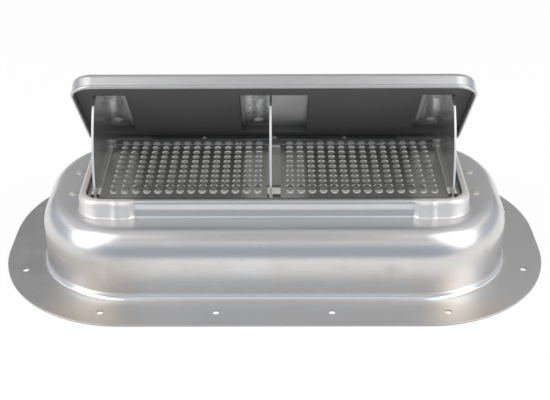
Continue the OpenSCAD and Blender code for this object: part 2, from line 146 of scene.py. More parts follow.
# Ends of the sweep in edit mode: filled with a face, or merged where the last loop lies on the first
def closeSweep(piece, capped):
    if capped:
        bpy.ops.mesh.edge_face_add()
        bpy.ops.mesh.select_all(action="DESELECT")
        bpy.ops.mesh.select_mode(type="EDGE")
        bpy.ops.mesh.select_non_manifold()
        bpy.ops.mesh.edge_face_add()
    bpy.ops.mesh.select_mode(type="VERT")
    bpy.ops.mesh.select_all(action="SELECT")
    bpy.ops.mesh.remove_doubles(threshold=meshing["sweepMerge"])
    bpy.ops.mesh.normals_make_consistent(inside=False)
    bpy.ops.object.mode_set(mode="OBJECT")
    piece.data.attributes.remove(piece.data.attributes["station"])


# Rounded rectangle as a row of corner centres and directions, so that a radius gives a point of the outline
def outlineStations(centreX, centreY, rearX, frontX, cornerSteps):
    stations = []
    for quarter in range(4):
        signX = 1 if quarter in (0, 3) else -1
        signY = 1 if quarter < 2 else -1
        for step in range(cornerSteps + 1):
            turn = pi / 2 * (quarter + step / cornerSteps)
            centre = Vector((signX * centreX, signY * centreY))
            stations.append((centre, Vector((cos(turn), sin(turn)))))
        if quarter == 0:
            stations += [(Vector((-x, centreY)), Vector((0, 1))) for x in rearX]
        if quarter == 2:
            stations += [(Vector((x, -centreY)), Vector((0, -1))) for x in frontX]
    return stations


def lifted(point, z):
    return Vector((point.x, point.y, z))


def outlineLoop(stations, radius, z):
    return [lifted(centre + direction * radius, z) for centre, direction in stations]


# Steps of a quarter bend, as shares of its radius along and across
def quarterSteps(count):
    turns = [pi / 2 * step / count for step in range(count + 1)]
    return [(sin(turn), 1 - cos(turn)) for turn in turns]


# A merged copy of a CAD solid, with its sharp edges broken; faces with large windows keep their triangles
def softenedCopy(node, edge, angle, joinFaces):
    piece = bpy.data.objects.new(node + "_finished", bpy.data.objects[node].data.copy())
    scene.collection.objects.link(piece)
    activate(piece)
    bpy.ops.object.mode_set(mode="EDIT")
    bpy.ops.mesh.select_all(action="SELECT")
    bpy.ops.mesh.remove_doubles(threshold=meshing["copyMerge"])
    if joinFaces:
        bpy.ops.mesh.dissolve_limited(angle_limit=radians(meshing["flatFaces"]))
    bpy.ops.object.mode_set(mode="OBJECT")
    if edge:
        applyModifier(
            piece, "BEVEL", width=edge, segments=meshing["edgeSegments"], limit_method="ANGLE",
            angle_limit=radians(angle))
    smoothByAngle(piece, angle)
    return piece


# Shader tools
def opaque(colour):
    return (*colour, 1)


# Sets an input to a fixed value, or links it to another node's output
def feed(tree, socket, source):
    if isinstance(source, bpy.types.NodeSocket):
        tree.links.new(source, socket)
    else:
        socket.default_value = source


def addNode(tree, kind, inputs=None, **settings):
    node = tree.nodes.new(kind)
    for key, value in settings.items():
        setattr(node, key, value)
    for key, source in (inputs or {}).items():
        feed(tree, node.inputs[key], source)
    return node


def maths(tree, operation, *sources):
    return addNode(tree, "ShaderNodeMath", dict(enumerate(sources)), operation=operation).outputs["Value"]


# A value that runs from 0 to 1 between two ends, either way
def fade(tree, source, start, end, shape="SMOOTHSTEP"):
    rising = start < end
    ramp = addNode(tree, "ShaderNodeMapRange", {
        "Value": source, "From Min": min(start, end), "From Max": max(start, end),
        "To Min": 0.0 if rising else 1.0, "To Max": 1.0 if rising else 0.0,
    }, interpolation_type=shape)
    return ramp.outputs["Result"]


# A mask that is whole only where all the given ones are
def overlap(tree, mask, *others):
    for other in others:
        mask = maths(tree, "MULTIPLY", mask, other)
    return mask


def mixColours(tree, mask, first, second):
    mix = addNode(tree, "ShaderNodeMix", {"Factor": mask, "A": first, "B": second}, data_type="RGBA")
    return mix.outputs["Result"]


# Object coordinates or normals, one output for each axis
def axes(tree, kind):
    place = addNode(tree, "ShaderNodeTexCoord")
    return addNode(tree, "ShaderNodeSeparateXYZ", {"Vector": place.outputs[kind]}).outputs


def newMaterial(name, metallic, colour, roughness):
    material = bpy.data.materials.new(name)
    material.use_nodes = True
    shader = material.node_tree.nodes["Principled BSDF"]
    shader.inputs["Metallic"].default_value = metallic
    shader.inputs["Base Color"].default_value = opaque(colour)
    shader.inputs["Roughness"].default_value = roughness
    return material, material.node_tree, shader


def groupSockets(name, inputs, outputs):
    group = bpy.data.node_groups.new(name, "ShaderNodeTree")
    for title, (kind, value) in inputs.items():
        socket = group.interface.new_socket(title, in_out="INPUT", socket_type="NodeSocket" + kind)
        socket.default_value = value
    for title, kind in outputs.items():
        group.interface.new_socket(title, in_out="OUTPUT", socket_type="NodeSocket" + kind)
    return group, group.nodes.new("NodeGroupInput"), group.nodes.new("NodeGroupOutput")


# Handling marks on bare sheet metal: cloudy stains, and small dark specks that lie in patches
handlingMarks = {
    "stain": (0.38, 0.72), "stainDetail": 5.0, "stainRoughness": 0.62, "stainDistortion": 0.6,
    "speck": (0.07, 0.03), "patch": (0.62, 0.7), "patchScale": 31.0, "patchDetail": 2.0,
}


def makeStainGroup(marks):
    group, entry, result = groupSockets(
        "stainsAndSpecks", {"Stain Scale": ("Float", 14.0), "Speck Scale": ("Float", 130.0)},
        {"Stain": "Float", "Speck": "Float"})
    place = addNode(group, "ShaderNodeTexCoord").outputs["Object"]
    cloud = addNode(group, "ShaderNodeTexNoise", {
        "Vector": place, "Scale": entry.outputs["Stain Scale"], "Detail": marks["stainDetail"],
        "Roughness": marks["stainRoughness"], "Distortion": marks["stainDistortion"],
    })
    fleck = addNode(group, "ShaderNodeTexVoronoi", {
        "Vector": place, "Scale": entry.outputs["Speck Scale"], "Randomness": 1.0,
    })
    patch = addNode(group, "ShaderNodeTexNoise", {
        "Vector": place, "Scale": marks["patchScale"], "Detail": marks["patchDetail"],
    })
    speck = fade(group, fleck.outputs["Distance"], *marks["speck"], "LINEAR")
    few = fade(group, patch.outputs["Fac"], *marks["patch"], "LINEAR")
    feed(group, result.inputs["Stain"], fade(group, cloud.outputs["Fac"], *marks["stain"], "LINEAR"))
    feed(group, result.inputs["Speck"], overlap(group, speck, few))
    return group


# Fine lines of rolled sheet, and the slow waves that a press leaves
sheetGrain = {"lineDetail": 3.0, "lineRoughness": 0.6, "waveDetail": 2.5, "waveRoughness": 0.4}


def makeSheetGroup(grain):
    group, entry, result = groupSockets(
        "rolledSheet", {
            "Line Scale": ("Float", 900.0), "Line Stretch": ("Vector", (0.06, 1.0, 1.0)),
            "Wave Scale": ("Float", 9.0),
        }, {"Lines": "Float", "Waves": "Float"})
    place = addNode(group, "ShaderNodeTexCoord").outputs["Object"]
    stretch = addNode(group, "ShaderNodeMapping", {"Vector": place, "Scale": entry.outputs["Line Stretch"]})
    lines = addNode(group, "ShaderNodeTexNoise", {
        "Vector": stretch.outputs["Vector"], "Scale": entry.outputs["Line Scale"],
        "Detail": grain["lineDetail"], "Roughness": grain["lineRoughness"],
    })
    waves = addNode(group, "ShaderNodeTexNoise", {
        "Vector": place, "Scale": entry.outputs["Wave Scale"],
        "Detail": grain["waveDetail"], "Roughness": grain["waveRoughness"],
    })
    feed(group, result.inputs["Lines"], lines.outputs["Fac"])
    feed(group, result.inputs["Waves"], waves.outputs["Fac"])
    return group


stainGroup = makeStainGroup(handlingMarks)
sheetGroup = makeSheetGroup(sheetGrain)


# Bare aluminium sheet: colour and gloss vary with stains, specks and rolling lines
darkLines = (0.42, 0.68)  # where the line pattern darkens


def aluminiumSheet(name, look):
    material, tree, shader = newMaterial(name, look["metallic"], look["colour"], look["roughness"])
    stains = addNode(tree, "ShaderNodeGroup", {
        "Stain Scale": look["stainScale"], "Speck Scale": look["speckScale"],
    }, node_tree=stainGroup).outputs
    sheet = addNode(tree, "ShaderNodeGroup", {
        "Line Scale": look["lineScale"], "Line Stretch": look["lineStretch"], "Wave Scale": look["waveScale"],
    }, node_tree=sheetGroup).outputs
    paint = mixColours(tree, stains["Stain"], opaque(look["colour"]), opaque(look["stainColour"]))
    paint = mixColours(tree, fade(tree, sheet["Lines"], *darkLines), paint, opaque(look["lineColour"]))
    paint = mixColours(tree, stains["Speck"], paint, opaque(look["speckColour"]))
    feed(tree, shader.inputs["Base Color"], paint)
    mean = maths(tree, "MULTIPLY", maths(tree, "ADD", stains["Stain"], sheet["Lines"]), 0.5)
    gloss = addNode(tree, "ShaderNodeMapRange", {
        "Value": mean, "To Min": look["roughness"] - look["roughnessRange"],
        "To Max": look["roughness"] + look["roughnessRange"],
    })
    feed(tree, shader.inputs["Roughness"], gloss.outputs["Result"])
    waveBump = addNode(tree, "ShaderNodeBump", {
        "Height": sheet["Waves"], "Strength": 1.0, "Distance": look["waveHeight"],
    })
    lineBump = addNode(tree, "ShaderNodeBump", {
        "Height": sheet["Lines"], "Strength": 1.0, "Distance": look["lineHeight"],
        "Normal": waveBump.outputs["Normal"],
    })
    feed(tree, shader.inputs["Normal"], lineBump.outputs["Normal"])
    return material, tree, shader


# Lays a mark over the colour and the roughness that a material has so far
def layMark(tree, shader, mask, colour, roughness):
    paint, gloss = shader.inputs["Base Color"], shader.inputs["Roughness"]
    feed(tree, paint, mixColours(tree, mask, paint.links[0].from_socket, opaque(colour)))
    mix = addNode(tree, "ShaderNodeMix", {
        "Factor": mask, "A": gloss.links[0].from_socket, "B": roughness,
    }, data_type="FLOAT")
    feed(tree, gloss, mix.outputs["Result"])


def patchyNoise(tree, scale, start, end):
    place = addNode(tree, "ShaderNodeTexCoord").outputs["Object"]
    noise = addNode(tree, "ShaderNodeTexNoise", {
        "Vector": place, "Scale": scale, "Detail": 4.0, "Roughness": 0.6,
    })
    return fade(tree, noise.outputs["Fac"], start, end)


# Marks of the base: worn corner and flange, painted shade on the duller inside and on the flange's left end,
# sheared edges and hole walls that are rough and partly painted dark as shade, a painted warm reflection on
# the flange's front corners, crisp bends, and dull shelf and posts
pressMarks = {
    "patchy": (26.0, 0.35, 0.6), "patchyShare": 0.45, "smudge": (48.0, 0.6, 0.72),  # noise scale, start, end
    "smudgeColour": (0.66, 0.645, 0.625), "smudgeRoughness": 0.4,
    "cornerColour": (0.58, 0.55, 0.52), "cornerRoughness": 0.46,
    "flangeColour": (0.69, 0.685, 0.68), "flangeRoughness": 0.46,
    "leftEndShadeColour": (0.53, 0.53, 0.535), "warmReflectionColour": (0.7, 0.64, 0.585), "edgeColour": (0.3, 0.295, 0.29),
    "crispBends": ((1.5 * mm, 8 * mm, (0.94, 0.94, 0.945)), (64.5 * mm, 77 * mm, (0.75, 0.75, 0.755))),
    "crispRoughness": 0.16, "bendFade": 1 * mm,
    "shelfColour": (0.75, 0.75, 0.755), "shelfRoughness": 0.44,
    "postColour": (0.87, 0.84, 0.81), "postRoughness": 0.5, "insideColour": (0.24, 0.24, 0.235),
}
# Where each mark comes in, from its start to its full strength
pressZones = {
    "cornerX": (-100 * mm, -150 * mm), "cornerZ": (54 * mm, 36 * mm),
    "flangeZ": (4 * mm, 2 * mm), "leftEndShadeX": (-170 * mm, -220 * mm),
    "warmReflectionNear": (110 * mm, 150 * mm), "warmReflectionFar": (220 * mm, 180 * mm), "warmReflectionFront": (-85 * mm, -115 * mm),
    "edgeZ": (1.45 * mm, 1.4 * mm), "edgeSlope": (0.6, 0.4),
    "shelfLow": (61.5 * mm, 63 * mm), "shelfHigh": (65.5 * mm, 64.5 * mm),
    "postX": (120.5 * mm, 125.5 * mm), "postZ": (64.5 * mm, 65.5 * mm),
    "inward": (-30 * mm, -45 * mm), "downward": (-0.2, -0.4), "insideZ": (90 * mm, 70 * mm),
}


def addPressMarks(tree, shader, look, zones):
    at, facing = axes(tree, "Object"), axes(tree, "Normal")
    sideways = maths(tree, "ABSOLUTE", at["X"])
    share = look["patchyShare"]
    patchy = maths(tree, "MULTIPLY_ADD", patchyNoise(tree, *look["patchy"]), share, 1 - share)

    def within(source, zone):
        return fade(tree, source, *zones[zone])

    corner = overlap(tree, within(at["X"], "cornerX"), within(at["Z"], "cornerZ"), patchy)
    layMark(tree, shader, corner, look["cornerColour"], look["cornerRoughness"])
    smudge = patchyNoise(tree, *look["smudge"])
    layMark(tree, shader, smudge, look["smudgeColour"], look["smudgeRoughness"])
    flat = within(at["Z"], "flangeZ")
    layMark(tree, shader, overlap(tree, flat, patchy), look["flangeColour"], look["flangeRoughness"])
    # Painted shade: the flange's left end is painted darker
    leftEndShade = overlap(tree, flat, within(at["X"], "leftEndShadeX"), patchy)
    layMark(tree, shader, leftEndShade, look["leftEndShadeColour"], look["flangeRoughness"])
    # Painted reflection: the flange near the front corners gets a warm tint of reflected light
    aside = overlap(tree, within(sideways, "warmReflectionNear"), within(sideways, "warmReflectionFar"))
    warmReflection = overlap(tree, aside, within(at["Y"], "warmReflectionFront"), flat)
    layMark(tree, shader, warmReflection, look["warmReflectionColour"], look["flangeRoughness"])
    # Sheared edges and hole walls: rough cut edges, darkened partly as painted shade
    slope = maths(tree, "ABSOLUTE", facing["Z"])
    shearedAndShaded = overlap(tree, within(at["Z"], "edgeZ"), within(slope, "edgeSlope"))
    layMark(tree, shader, shearedAndShaded, look["edgeColour"], look["cornerRoughness"])
    for low, high, colour in look["crispBends"]:
        above = fade(tree, at["Z"], low, low + look["bendFade"])
        below = fade(tree, at["Z"], high, high - look["bendFade"])
        layMark(tree, shader, overlap(tree, above, below), colour, look["crispRoughness"])
    shelf = overlap(tree, within(at["Z"], "shelfLow"), within(at["Z"], "shelfHigh"))
    layMark(tree, shader, shelf, look["shelfColour"], look["shelfRoughness"])
    posts = overlap(tree, within(sideways, "postX"), within(at["Z"], "postZ"))
    layMark(tree, shader, posts, look["postColour"], look["postRoughness"])
    # Painted shade: faces inside the pressing that point inward or down, below the collar, are painted dark
    # and made rougher
    outward = maths(tree, "MULTIPLY_ADD", facing["X"], at["X"], maths(tree, "MULTIPLY", facing["Y"], at["Y"]))
    inside = maths(tree, "MAXIMUM", within(outward, "inward"), within(facing["Z"], "downward"))
    inside = overlap(tree, inside, within(at["Z"], "insideZ"))
    layMark(tree, shader, inside, look["insideColour"], look["cornerRoughness"])


# Inside the open lid the skin is dull
def addLidMarks(tree, shader, look):
    place = addNode(tree, "ShaderNodeTexCoord").outputs
    masks = []
    for kind, ends in (("Normal", look["insideFacing"]), ("Object", look["insideDepth"])):
        inward = addNode(
            tree, "ShaderNodeVectorMath", {0: place[kind], 1: lidInward}, operation="DOT_PRODUCT")
        masks.append(fade(tree, inward.outputs["Value"], *ends))
    layMark(tree, shader, overlap(tree, *masks), look["insideColour"], look["insideRoughness"])


# The screen's upturned edges are rougher, and painted dark as shade
def addScreenEdgeShade(tree, shader, look):
    upturned = fade(tree, axes(tree, "Object")["Z"], look["sheetTop"], look["sheetTop"] + look["edgeFade"])
    layMark(tree, shader, upturned, look["edgeColour"], look["edgeRoughness"])


# The quadrants' ground front edges are dull, and painted bright as a highlight on the faces that point
# forward
def addPlateEdgeHighlight(tree, shader, look):
    facing = axes(tree, "Normal")
    forward = fade(tree, facing["Y"], *look["edgeForward"])
    notFlange = fade(tree, facing["Z"], *look["edgeRise"])  # the flanges face forward and down
    layMark(tree, shader, overlap(tree, forward, notFlange), look["edgeColour"], look["edgeRoughness"])


pressedLook = {
    "colour": (0.75, 0.75, 0.755), "stainColour": (0.72, 0.685, 0.645), "speckColour": (0.2, 0.19, 0.18),
    "metallic": 1.0, "roughness": 0.3, "roughnessRange": 0.05,
    "stainScale": 14.0, "speckScale": 130.0, "lineScale": 900.0, "waveScale": 9.0,
    "lineStretch": (0.06, 1.0, 1.0), "lineColour": (0.69, 0.69, 0.69),
    "waveHeight": 0.8 * mm, "lineHeight": 0.0008 * mm,
}
screenLook = {
    "colour": (0.6, 0.6, 0.59), "stainColour": (0.52, 0.51, 0.49), "speckColour": (0.15, 0.15, 0.15),
    "metallic": 0.85, "roughness": 0.22, "roughnessRange": 0.06,
    "sheetTop": 75.7 * mm, "edgeFade": 0.4 * mm, "edgeColour": (0.15, 0.15, 0.15), "edgeRoughness": 0.45,
    "stainScale": 30.0, "speckScale": 250.0, "lineScale": 1400.0, "waveScale": 20.0,
    "lineStretch": (0.1, 1.0, 1.0), "lineColour": (0.55, 0.55, 0.54),
    "waveHeight": 0.05 * mm, "lineHeight": 0.002 * mm,
}
plateLook = {
    "colour": (0.66, 0.66, 0.66), "stainColour": (0.6, 0.6, 0.59), "speckColour": (0.3, 0.3, 0.3),
    "metallic": 0.85, "roughness": 0.22, "roughnessRange": 0.05,
    "stainScale": 40.0, "speckScale": 280.0, "lineScale": 420.0, "waveScale": 24.0,
    "lineStretch": (1.0, 0.5, 0.05), "lineColour": (0.47, 0.47, 0.46),
    "waveHeight": 0.04 * mm, "lineHeight": 0.002 * mm,
    "edgeForward": (-0.4, -0.7), "edgeRise": (-0.4, -0.2),  # parts of the normal along Y and Z
    "edgeColour": (0.9, 0.9, 0.89), "edgeRoughness": 0.42,
}
rivetLook = {
    "colour": (0.7, 0.685, 0.64), "stainColour": (0.6, 0.585, 0.54), "speckColour": (0.2, 0.2, 0.2),
    "metallic": 0.65, "roughness": 0.4, "roughnessRange": 0.08,
    "stainScale": 120.0, "speckScale": 400.0, "lineScale": 2500.0, "waveScale": 60.0,
    "lineStretch": (1.0, 1.0, 1.0), "lineColour": (0.55, 0.545, 0.52),
    "waveHeight": 0.05 * mm, "lineHeight": 0.004 * mm,
}
hingeLook = {
    "colour": (0.5, 0.5, 0.5), "stainColour": (0.42, 0.41, 0.4), "speckColour": (0.15, 0.14, 0.13),
    "metallic": 1.0, "roughness": 0.34, "roughnessRange": 0.08,
    "stainScale": 50.0, "speckScale": 280.0, "lineScale": 1500.0, "waveScale": 30.0,
    "lineStretch": (0.1, 1.0, 1.0), "lineColour": (0.46, 0.46, 0.46),
    "waveHeight": 0.02 * mm, "lineHeight": 0.004 * mm,
}
lidLook = {
    **pressedLook, "colour": (0.66, 0.66, 0.665), "stainColour": (0.64, 0.615, 0.585), "roughness": 0.4,
    "insideFacing": (0.5, 0.8), "insideDepth": (-100 * mm, -103 * mm),  # along lidInward
    "insideColour": (0.62, 0.62, 0.61), "insideRoughness": 0.5,
}
lidRivetLook = {
    **rivetLook, "colour": (0.5, 0.49, 0.47), "stainColour": (0.43, 0.42, 0.4), "roughness": 0.5,
}
# Direction into the open lid from its top
lidInward = (0, -sin(radians(openAngle)), -cos(radians(openAngle)))
lidAluminium, lidTree, lidShader = aluminiumSheet("lidAluminium", lidLook)
addLidMarks(lidTree, lidShader, lidLook)
baseAluminium, baseTree, baseShader = aluminiumSheet("baseAluminium", pressedLook)
addPressMarks(baseTree, baseShader, pressMarks, pressZones)
screenMetal, screenTree, screenShader = aluminiumSheet("screenMetal", screenLook)
addScreenEdgeShade(screenTree, screenShader, screenLook)
polishedPlate, plateTree, plateShader = aluminiumSheet("polishedPlate", plateLook)
addPlateEdgeHighlight(plateTree, plateShader, plateLook)
rivetMetal = aluminiumSheet("rivetMetal", rivetLook)[0]
lidRivetMetal = aluminiumSheet("lidRivetMetal", lidRivetLook)[0]
hingeMetal = aluminiumSheet("hingeMetal", hingeLook)[0]


foamLook = {
    "dark": (0.083, 0.083, 0.084), "light": (0.125, 0.125, 0.126), "roughness": 0.9, "specular": 0.25,
    "cell": 1500.0, "cellShades": (0.3, 0.7), "cellDepth": 0.12 * mm, "cellStrength": 0.6,
}


def foamMaterial(look):
    material, tree, shader = newMaterial("foam", 0.0, look["dark"], look["roughness"])
    shader.inputs["Specular IOR Level"].default_value = look["specular"]
    place = addNode(tree, "ShaderNodeTexCoord").outputs["Object"]
    cells = addNode(tree, "ShaderNodeTexNoise", {
        "Vector": place, "Scale": look["cell"], "Detail": 3.0, "Roughness": 0.7,
    }).outputs["Fac"]
    light = fade(tree, cells, *look["cellShades"], "LINEAR")
    paint = mixColours(tree, light, opaque(look["dark"]), opaque(look["light"]))
    feed(tree, shader.inputs["Base Color"], paint)
    bump = addNode(tree, "ShaderNodeBump", {
        "Height": cells, "Strength": look["cellStrength"], "Distance": look["cellDepth"],
    })
    feed(tree, shader.inputs["Normal"], bump.outputs["Normal"])
    return material


nylonLook = {
    "colour": (0.8, 0.795, 0.77), "roughness": 0.42, "grime": (0.62, 0.61, 0.58), "stainScale": 160.0,
    "frontShadeColour": (0.1, 0.1, 0.1), "frontShadeFacing": (-0.5, -0.8),
    "scatter": 0.1, "scatterRadius": (0.6 * mm, 0.6 * mm, 0.5 * mm),
}


def nylonMaterial(look):
    material, tree, shader = newMaterial("nylon", 0.0, look["colour"], look["roughness"])
    shader.inputs["Subsurface Weight"].default_value = look["scatter"]
    shader.inputs["Subsurface Radius"].default_value = look["scatterRadius"]
    stains = addNode(tree, "ShaderNodeGroup", {"Stain Scale": look["stainScale"]}, node_tree=stainGroup)
    paint = mixColours(tree, stains.outputs["Stain"], opaque(look["colour"]), opaque(look["grime"]))
    # Painted shade: faces that point to the front, in the lid's shadow, are painted dark
    front = fade(tree, axes(tree, "Normal")["Y"], *look["frontShadeFacing"])
    feed(tree, shader.inputs["Base Color"], mixColours(tree, front, paint, opaque(look["frontShadeColour"])))
    return material


foam = foamMaterial(foamLook)
nylon = nylonMaterial(nylonLook)
print("materials made")


# Base pressing: one sheet from the flange over the dome and the shelf to the folded collar
flange = {
    "length": 500 * mm, "width": 268 * mm, "cornerRadius": 118 * mm, "sheet": 1.5 * mm, "edge": 0.3 * mm,
}
flangeHoles = {
    "diameter": 6 * mm, "pitch": 100.7 * mm, "inset": 18.4 * mm, "endPitch": 102 * mm, "endInset": 21.6 * mm,
    "sides": 32, "drillLength": 8 * mm,
}
dome = {"margin": 37.5 * mm, "shelf": 64.2 * mm, "foot": 5 * mm, "shoulder": 20 * mm, "shoulderDrop": 26 * mm}
collar = {
    "length": 348 * mm, "width": 125.2 * mm, "cornerRadius": 21 * mm, "height": 15.8 * mm,
    "rim": 7.2 * mm, "foot": 2.5 * mm, "crest": 5.8 * mm, "innerCrest": 0.3 * mm, "crestDrop": 0.3 * mm,
    "recessLength": 252 * mm, "rearRecess": 4.2 * mm, "frontRecess": 2.2 * mm, "recessRadius": 5 * mm,
    "recessCrest": 3.2 * mm, "recessEnd": 0.6 * mm, "frontStep": 129 * mm, "stepLength": 8 * mm,
    "frontLean": 0.95 * mm, "postSpread": 1.6 * mm, "postWaist": 7.5 * mm, "postBow": 1.4 * mm,
    "postEnd": 147 * mm, "creaseX": 139.5 * mm, "creaseWidth": 4.6 * mm, "creaseHeight": 0.7 * mm,
}
cornerSteps = 24
sideSteps = 8  # along each end of a recess
bendSteps = {
    "foot": 8, "shoulder": 16, "collarFoot": 8, "crest": 8, "innerCrest": 5,
    "shoulderInside": 12, "footInside": 6, "lidInside": 6, "bead": 12, "lidTop": 8,
}
baseSmoothing = 25  # degrees


# Stations along the long sides: the ends of the recess, and in front the crease in each post
def rearStations(steps):
    middle = collar["recessLength"] / 2 - collar["recessRadius"]
    widest = acos(1 - collar["rearRecess"] / collar["recessRadius"])
    ends = [middle + collar["recessRadius"] * sin(widest * step / steps) for step in range(steps + 1)]
    return mirrored(ends + [ends[-1] + collar["recessEnd"]])


def frontStations(steps):
    step, crease = collar["stepLength"] / steps, collar["creaseWidth"] / steps
    ends = [collar["frontStep"] - collar["stepLength"] + step * index for index in range(steps + 1)]
    creased = [collar["creaseX"] - collar["creaseWidth"] + crease * index for index in range(2 * steps + 1)]
    return mirrored(ends + creased + [collar["postEnd"]])


def mirrored(ends):
    return [-x for x in reversed(ends)] + [0.0] + ends


def smoothStep(value, start, end):
    share = min(1.0, max(0.0, (value - start) / (end - start)))
    return share * share * (3 - 2 * share)


# Depth of the recess: hollow bends end it in the rear, and soft steps in front
def recessDepthAt(x, front):
    if front:
        end = collar["frontStep"]
        return collar["frontRecess"] * (1 - smoothStep(abs(x), end - collar["stepLength"], end))
    radius = collar["recessRadius"]
    beyond = min(radius, max(0.0, abs(x) - (collar["recessLength"] / 2 - radius)))
    return max(0.0, collar["rearRecess"] - radius + sqrt(radius ** 2 - beyond ** 2))


# How far the front posts stand back: they bow towards the corners and have a crease
def postSetBack(x):
    bow = smoothStep(abs(x), collar["frontStep"], collar["length"] / 2 - collar["cornerRadius"])
    away = abs(abs(x) - collar["creaseX"]) / collar["creaseWidth"]
    return collar["postBow"] * bow - collar["creaseHeight"] * cos(pi / 2 * min(1.0, away)) ** 2


# Plan normals of a closed outline, from the neighbours of each point
def planNormals(points):
    normals = []
    for index, point in enumerate(points):
        ahead = (points[(index + 1) % len(points)] - point).normalized()
        behind = (point - points[index - 1]).normalized()
        along = (ahead + behind).normalized()
        normals.append(Vector((along.y, -along.x)))
    return normals


def collarLoops(rearX, frontX):
    radius, height, fillet = collar["cornerRadius"], collar["height"], collar["foot"]
    stations = outlineStations(
        collar["length"] / 2 - radius, collar["width"] / 2 - radius, rearX, frontX, cornerSteps)
    outer, inner, below, lean, crest = [], [], [], [], []
    for centre, direction in stations:
        front = max(0.0, -direction.y)
        fullDepth = collar["frontRecess"] if front else collar["rearRecess"]
        depth = recessDepthAt(centre.x, front)  # the corner centres lie beyond the recess
        share = 1 - depth / fullDepth
        outer.append(centre + direction * (radius - depth - front ** 2 * postSetBack(centre.x)))
        inner.append(centre + direction * (radius - collar["rim"]))
        below.append(outer[-1] + direction * collar["postSpread"] * share * front ** 2)
        lean.append(collar["frontLean"] * front)
        room = (outer[-1] - inner[-1]).length - lean[-1] - collar["innerCrest"]
        crest.append(min(room, collar["recessCrest"] + (collar["crest"] - collar["recessCrest"]) * share))
    inward = [(end - start).normalized() for start, end in zip(outer, inner)]
    outward = [
        direction if direction.y < 0 else normal
        for (centre, direction), normal in zip(stations, planNormals(below))]
    shelf, waist = dome["shelf"], collar["postWaist"]
    top = shelf + height
    loops = []
    for along, across in quarterSteps(bendSteps["collarFoot"]):
        loops.append([
            lifted(point + away * fillet * (1 - along), shelf + fillet * across)
            for point, away in zip(below, outward)])
    loops.append([  # the front posts spread below this height
        lifted(point + into * back * (waist - fillet) / (height - bend - fillet), shelf + waist)
        for point, into, back, bend in zip(outer, inward, lean, crest)])
    low = top - collar["crestDrop"]  # the rim rises to its inner edge
    for along, across in quarterSteps(bendSteps["crest"])[:-1]:
        loops.append([
            lifted(point + into * (back + bend * across), low - bend + bend * along)
            for point, into, back, bend in zip(outer, inward, lean, crest)])
    bend = collar["innerCrest"]
    for along, across in quarterSteps(bendSteps["innerCrest"]):
        loops.append([
            lifted(point - into * bend * (1 - along), top - bend * across)
            for point, into in zip(inner, inward)])
    loops.append([lifted(point, shelf - flange["sheet"]) for point in inner])
    return loops


# The dome's straight sides are shorter than the collar's, so stations past the recess move closer together
def onDome(stationsX):
    start, collarEnd = collar["frontStep"], collar["length"] / 2 - collar["cornerRadius"]
    squeeze = (flange["length"] / 2 - flange["cornerRadius"] - start) / (collarEnd - start)
    return [x if abs(x) <= start else (x / abs(x)) * (start + (abs(x) - start) * squeeze) for x in stationsX]


# Loops over the outside, from the flange's edge to the shelf, and back along the inside
def domeLoops(rearX, frontX):
    radius, sheet, edge = flange["cornerRadius"], flange["sheet"], flange["edge"]
    stations = outlineStations(
        flange["length"] / 2 - radius, flange["width"] / 2 - radius,
        onDome(rearX), onDome(frontX), cornerSteps)
    wall, foot, shelf = radius - dome["margin"], dome["foot"], dome["shelf"]
    shoulder, drop = dome["shoulder"], dome["shoulderDrop"]
    outside = [(radius - edge, 0), (radius, edge), (radius, sheet - edge), (radius - edge, sheet)]
    for along, across in quarterSteps(bendSteps["foot"]):
        outside.append((wall + foot * (1 - along), sheet + foot * across))
    for along, across in quarterSteps(bendSteps["shoulder"]):
        outside.append((wall - shoulder * across, shelf - drop * (1 - along)))
    inside = []
    inner, under, bend = wall - sheet, shelf - sheet, foot + sheet
    for along, across in quarterSteps(bendSteps["shoulderInside"]):
        inside.append((inner - (shoulder - sheet) * (1 - along), under - (drop - sheet) * across))
    for along, across in quarterSteps(bendSteps["footInside"]):
        inside.append((inner + bend * across, bend * (1 - along)))
    return [[outlineLoop(stations, offset, z) for offset, z in side] for side in (outside, inside)]


def cutFlangeHoles(piece):
    places = []
    sideY = flange["width"] / 2 - flangeHoles["inset"]
    endX = flange["length"] / 2 - flangeHoles["endInset"]
    for side in (-1, 1):
        places += [(step * flangeHoles["pitch"], side * sideY) for step in (-1.5, -0.5, 0.5, 1.5)]
        places += [(side * endX, half * flangeHoles["endPitch"]) for half in (-0.5, 0.5)]
    deselectAll()
    drills = []
    for x, y in places:
        bpy.ops.mesh.primitive_cylinder_add(
            vertices=flangeHoles["sides"], radius=flangeHoles["diameter"] / 2,
            depth=flangeHoles["drillLength"], location=(x, y, 0))
        drills.append(bpy.context.object)
    activate(drills[0])
    for drill in drills:
        drill.select_set(True)
    bpy.ops.object.join()
    applyModifier(piece, "BOOLEAN", operation="DIFFERENCE", solver="EXACT", object=drills[0])
    bpy.data.objects.remove(drills[0])


def makeBasePressing():
    rearX, frontX = rearStations(sideSteps), frontStations(sideSteps)
    outside, inside = domeLoops(rearX, frontX)
    loops = outside + collarLoops(rearX, frontX) + inside
    loops.append(loops[0])
    piece = sweepLoops("basePressing", loops)
    closeSweep(piece, capped=False)
    cutFlangeHoles(piece)
    smoothByAngle(piece, baseSmoothing)
    fitOut(piece, "base", baseAluminium, "base_pressing")
    return piece


basePressing = makeBasePressing()
print("base pressing modelled:", len(basePressing.data.polygons), "faces")


# Lid: pressed tray with a beaded lip, drawn closed and turned open about the hinge
hingePlace = Vector(hinge["pos_m"])
openTurn = (
    Matrix.Translation(hingePlace)
    @ Matrix.Rotation(radians(-openAngle), 4, "X")
    @ Matrix.Translation(-hingePlace)
)
lid = {
    "endGap": 2.6 * mm, "cornerRadius": 19 * mm, "sheet": 1.2 * mm, "height": 14.8 * mm, "overlap": 6.5 * mm,
    "topEdge": 4.2 * mm, "bead": 1.7 * mm, "beadProud": 1.2 * mm, "wallBehindHinge": 2.7 * mm,
    "smoothing": 35,  # degrees
}


